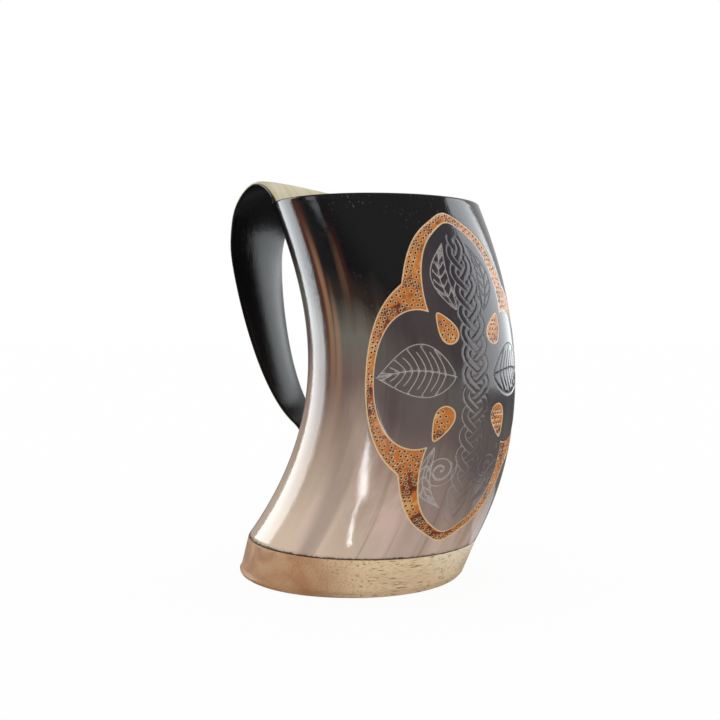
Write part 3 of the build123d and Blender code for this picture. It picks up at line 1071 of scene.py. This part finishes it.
class HORNCUP_OT_strap(bpy.types.Operator):
    """Builds the bent strap handle"""

    bl_idname = "horncup.strap"
    bl_label = "Strap Handle"

    def execute(self, context):
        scene = context.scene
        form, carving = scene.strap_form, scene.carving_form
        horn = Horn(scene.horn_form)
        strap = Strap(form, horn)
        rows = round(strap.length / form.row)
        around = 2 * (form.across + form.round)
        blank = bmesh.new()
        bmesh.ops.create_cone(blank, cap_ends=True, segments=around, radius1=1, radius2=1, depth=1)
        lengthwise = [edge for edge in blank.edges if abs(edge.verts[0].co.z - edge.verts[1].co.z) > 0.5]
        bmesh.ops.subdivide_edges(blank, edges=lengthwise, cuts=rows - 1)
        layers = {"growth": [], "skin": []}
        blank.verts.index_update()
        for vertex in blank.verts:
            x, y, z = vertex.co
            run = (z + 0.5) * (strap.length - form.tip_flat)
            place = round(atan2(y, x) % tau / tau * around) % around
            side, through_share, edge = section_place(place, form.across, form.round)
            soft = smooth(run / form.soft_length)
            half_width = strap.half_width(run)
            thick = strap.thickness(run, side)
            room = 1 - soft * min(0.5, thick / 2 / half_width)
            normal = strap.normal(run, side * room)
            if edge is not None:
                depth = through_share * (1 - soft) + (1 - cos(edge)) / 2 * soft
                outward = thick / 2 * sin(edge) * soft
            else:
                depth, outward = through_share, 0.0
            point = strap.dark_point(run, side * room) + normal * (thick * depth)
            point.y += outward * (1 if side > 0 else -1)
            vertex.co = point
            angle = pi - side * asin(min(1.0, form.root_half_width / horn.section(RIM)[2]))
            layers["growth"].append((carving.radius * cos(angle), carving.radius * sin(angle), RIM + run))
            layers["skin"].append((depth, side * room, run / strap.length))
        finish_piece("bent_strap_handle", blank, strap_finish(scene.finishes), layers, ["handle_strap"])
        return {"FINISHED"}


def section_place(place, across, rounds):
    """Where a point of the strap's outline lies: across it, through it and, on an edge, round the edge."""
    if place <= across:
        return 2 * place / across - 1, 0.0, 0.0 if place in (0, across) else None
    place -= across
    if place < rounds:
        return 1.0, place / rounds, pi * place / rounds
    place -= rounds
    if place <= across:
        return 1 - 2 * place / across, 1.0, pi if place in (0, across) else None
    place -= across
    return -1.0, 1 - place / rounds, pi * (1 - place / rounds)


class HORNCUP_OT_foot(bpy.types.Operator):
    """Builds the wooden foot"""

    bl_idname = "horncup.foot"
    bl_label = "Wooden Foot"

    def execute(self, context):
        scene = context.scene
        form, horn = scene.foot_form, Horn(scene.horn_form)
        steps, side_rows, rim_share = 180, 8, 0.94
        blank = bmesh.new()
        corners = [blank.verts.new(corner) for corner in (
            (0, 0, 0), (1, 0, 0), (1, 0, FOOT_TOP), (0.5, 0, FOOT_TOP), (0.5, 0, PLUG_TOP), (0, 0, PLUG_TOP))]
        edges = [blank.edges.new(pair) for pair in zip(corners, corners[1:])]
        bmesh.ops.subdivide_edges(blank, edges=[edges[1]], cuts=side_rows - 1)
        spin_full(blank, steps)
        bmesh.ops.remove_doubles(blank, verts=blank.verts, dist=TOUCH)
        middle, long, wide, _ = horn.section(FOOT_TOP)
        for vertex in blank.verts:
            x, y, height = vertex.co
            radius, angle = hypot(x, y), atan2(y, x)
            share = min(1.0, height / FOOT_TOP)
            # The blank's plug has half the foot's radius
            if radius > 0.75 or height < FOOT_TOP / 2:
                taper = 1 - share
                half = (long - form.taper_length * taper, wide - form.taper_width * taper)
                radius = min(radius, 1.0)
                # Sanding only takes wood away, in a few shallow waves that die out at the seam
                sanded = sin(5 * angle + 1.3) * sin(2 * angle + 40 * height) * form.wander * taper
                half = [size + min(0.0, sanded) for size in half]
            else:
                radius = 1.0 if radius > 0.25 else 0.0
                _, long_here, wide_here, wall = horn.section(height)
                half = [size - wall - form.plug_clearance for size in (long_here, wide_here)]
            centre = middle * share if height <= FOOT_TOP + TOUCH else horn.section(height)[0]
            vertex.co = (centre + half[0] * radius * cos(angle), half[1] * radius * sin(angle), height)
        for height, size in ((0.0, form.edge_round), (FOOT_TOP, form.top_round)):
            ring = [edge for edge in blank.edges
                    if all(abs(v.co.z - height) < TOUCH for v in edge.verts)
                    and all(hypot((v.co.x - middle * height / FOOT_TOP) / long, v.co.y / wide) > rim_share
                            for v in edge.verts)]
            bmesh.ops.bevel(blank, geom=ring, offset=size, offset_type="OFFSET", segments=4, profile=0.5,
                            affect="EDGES", material=-1)
        finish_piece("wooden_foot", blank, wood_finish(scene.finishes), {}, ["wood_base"])
        return {"FINISHED"}


class HORNCUP_OT_fittings(bpy.types.Operator):
    """Finishes the glue line, the resin seal, the rivet and its burr"""

    bl_idname = "horncup.fittings"
    bl_label = "Fittings"

    def execute(self, context):
        finishes = context.scene.finishes
        brass = brass_finish(finishes)
        for node, material in {
            "base_glue_line": glue_finish(finishes),
            "floor_seal": resin_finish(finishes),
            "handle_rivet": brass,
            "rivet_burr": brass,
        }.items():
            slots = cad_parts[node].data.materials
            slots.clear()
            slots.append(material)
        return {"FINISHED"}


# ---------------------------------------------------------------- stage
LAMP_TINT = (0.92, 0.97, 1.0)
LAMP_AIM = Vector((0.015, 0, 0.08))


def softbox(name, angle, place, size, level, roll=0.0, shape="RECTANGLE"):
    """A lamp that shows only in the polish, at a distance and a height, turned to the cup."""
    data = bpy.data.lights.new(name, "AREA")
    data.shape, (data.size, data.size_y) = shape, size
    data.color = LAMP_TINT
    data.energy = pi * level * size[0] * size[1] * (pi / 4 if shape == "ELLIPSE" else 1)
    lamp = place_object(name, data)
    distance, height = place
    lamp.location = (distance * cos(angle), distance * sin(angle), height)
    aim = LAMP_AIM - lamp.location
    lamp.rotation_euler = (aim.to_track_quat("-Z", "Y") @ Quaternion((0, 0, 1), roll)).to_euler()
    lamp.visible_camera = lamp.visible_diffuse = False
    return lamp


def lay_flat(lamp, place, way):
    """Lays a lamp on the table, its long side along a direction."""
    lamp.location = (*place, 0.001)
    lamp.rotation_euler = Euler((pi, 0, way + pi / 2))


class HORNCUP_OT_stage(bpy.types.Operator):
    """Sets the table, the lamps, the world and the camera"""

    bl_idname = "horncup.stage"
    bl_label = "Stage"

    def execute(self, context):
        scene = context.scene
        form = scene.stage_form
        self.table(form)
        self.world(scene, form)
        facing = -pi / 2 + form.azimuth
        # Standing panels: degrees round from the camera, distance and height, size, level and roll
        for name, turn, place, size, level, roll in (
                ("left_panel", -122, (0.95, 0.10), (0.48, 1.3), 4.0, -28),
                ("left_strip", -73, (0.95, 0.27), (0.22, 0.24), 1.8, 0),
                ("right_panel", 101, (0.97, 0.03), (1.39, 1.69), 3.3, -49)):
            softbox(name, facing + radians(turn), place, size, level, radians(roll))
        # Sheets on the table: size, level, shape, place and degrees of their long side
        for name, size, level, shape, place, way in (
                ("far_strip", (0.04, 0.90), 14.0, "ELLIPSE", (-0.012, -0.60), -98.5),
                ("near_strip", (0.004, 0.13), 14.0, "RECTANGLE", (0.039, -0.135), -86.7),
                ("back_sheet", (0.08, 0.09), 0.6, "RECTANGLE", (0.075, 0.085), 90)):
            lay_flat(softbox(name, 0, (1, 0), size, level, shape=shape), place, radians(way))
        camera_data = bpy.data.cameras.new("camera")
        camera_data.lens = form.lens
        camera = place_object("camera", camera_data)
        camera.location = form.place
        camera.rotation_euler = Euler((pi / 2 - form.pitch, 0, form.azimuth))
        scene.camera = camera
        scene.view_settings.view_transform = "Standard"
        return {"FINISHED"}

    @staticmethod
    def table(form):
        mesh = bmesh.new()
        bmesh.ops.create_circle(mesh, cap_ends=True, segments=96, radius=4.0)
        data = bpy.data.meshes.new("table")
        mesh.to_mesh(data)
        mesh.free()
        nodes = Finish("table_top", form.table)
        path = {key: nodes.add("LightPath", {}, out=key) for key in ("Is Camera Ray", "Is Glossy Ray")}
        matt = nodes.add("BsdfDiffuse", {}, {"Color": tuple(form.table)})
        white = nodes.add("Emission", {}, {"Color": (1, 1, 1, 1), "Strength": 1.0})
        shader = nodes.add("MixShader", {}, {0: path["Is Camera Ray"] * form.glow, 1: matt, 2: white})
        dim = nodes.add("Emission", {}, {"Color": (1, 1, 1, 1), "Strength": form.under})
        shader = nodes.add("MixShader", {}, {0: path["Is Glossy Ray"], 1: shader, 2: dim})
        nodes.add("OutputMaterial", {}, {"Surface": shader})
        data.materials.append(nodes.material)
        table = place_object("table", data)

    @staticmethod
    def world(scene, form):
        scene.world = bpy.data.worlds.new("studio")
        scene.world.use_nodes = True
        nodes = Nodes(scene.world.node_tree)
        way = nodes.add("TexCoord", {}, out="Generated")
        # The room is paler behind the cup and to its right
        turn = form.azimuth + radians(65)
        level_way = nodes.add("VectorMath", {"operation": "NORMALIZE"}, {0: nodes.stretch(way, (1, 1, 0))})
        share = nodes.add("VectorMath", {"operation": "DOT_PRODUCT"},
                          {0: level_way, 1: (cos(turn), sin(turn), 0.0)}, out="Value")
        mirrored_level = form.dark + share.rise(0.88, 0.94) * (form.back - form.dark)
        mirrored_level = mirrored_level + nodes.part(way, "Z").rise(0.02, 0.25) * form.ceiling
        camera_ray = nodes.add("LightPath", {}, out="Is Camera Ray")
        glossy_ray = nodes.add("LightPath", {}, out="Is Glossy Ray")
        overhead = nodes.part(way, "Z").most(0.0) * form.lift + form.fill
        level = overhead * (1 - glossy_ray) + mirrored_level * glossy_ray
        level = level * (1 - camera_ray) + camera_ray
        background = nodes.add("Background", {}, {"Color": (1, 1, 1, 1), "Strength": level})
        nodes.add("OutputWorld", {}, {"Surface": background})


class HORNCUP_PT_panel(bpy.types.Panel):
    """Builds the cup, piece by piece"""

    bl_idname = "HORNCUP_PT_panel"
    bl_label = "Horn Cup"
    bl_space_type = "VIEW_3D"
    bl_region_type = "UI"
    bl_category = "Horn Cup"

    def draw(self, context):
        for operator in OPERATORS:
            self.layout.operator(operator.bl_idname)


OPERATORS = (HORNCUP_OT_wall, HORNCUP_OT_strap, HORNCUP_OT_foot, HORNCUP_OT_fittings, HORNCUP_OT_stage)
GROUPS = {"horn_form": HornForm, "carving_form": CarvingForm, "strap_form": StrapForm, "foot_form": FootForm,
          "finishes": Finishes, "stage_form": StageForm}


def register():
    for kind in (*GROUPS.values(), *OPERATORS, HORNCUP_PT_panel):
        bpy.utils.register_class(kind)
    for name, group in GROUPS.items():
        setattr(bpy.types.Scene, name, PointerProperty(type=group))


def unregister():
    for name in GROUPS:
        delattr(bpy.types.Scene, name)
    for kind in reversed((*GROUPS.values(), *OPERATORS, HORNCUP_PT_panel)):
        bpy.utils.unregister_class(kind)


def main():
    register()
    bpy.ops.horncup.wall()
    bpy.ops.horncup.strap()
    bpy.ops.horncup.foot()
    bpy.ops.horncup.fittings()
    bpy.ops.horncup.stage()


if __name__ == "__main__":
    main()
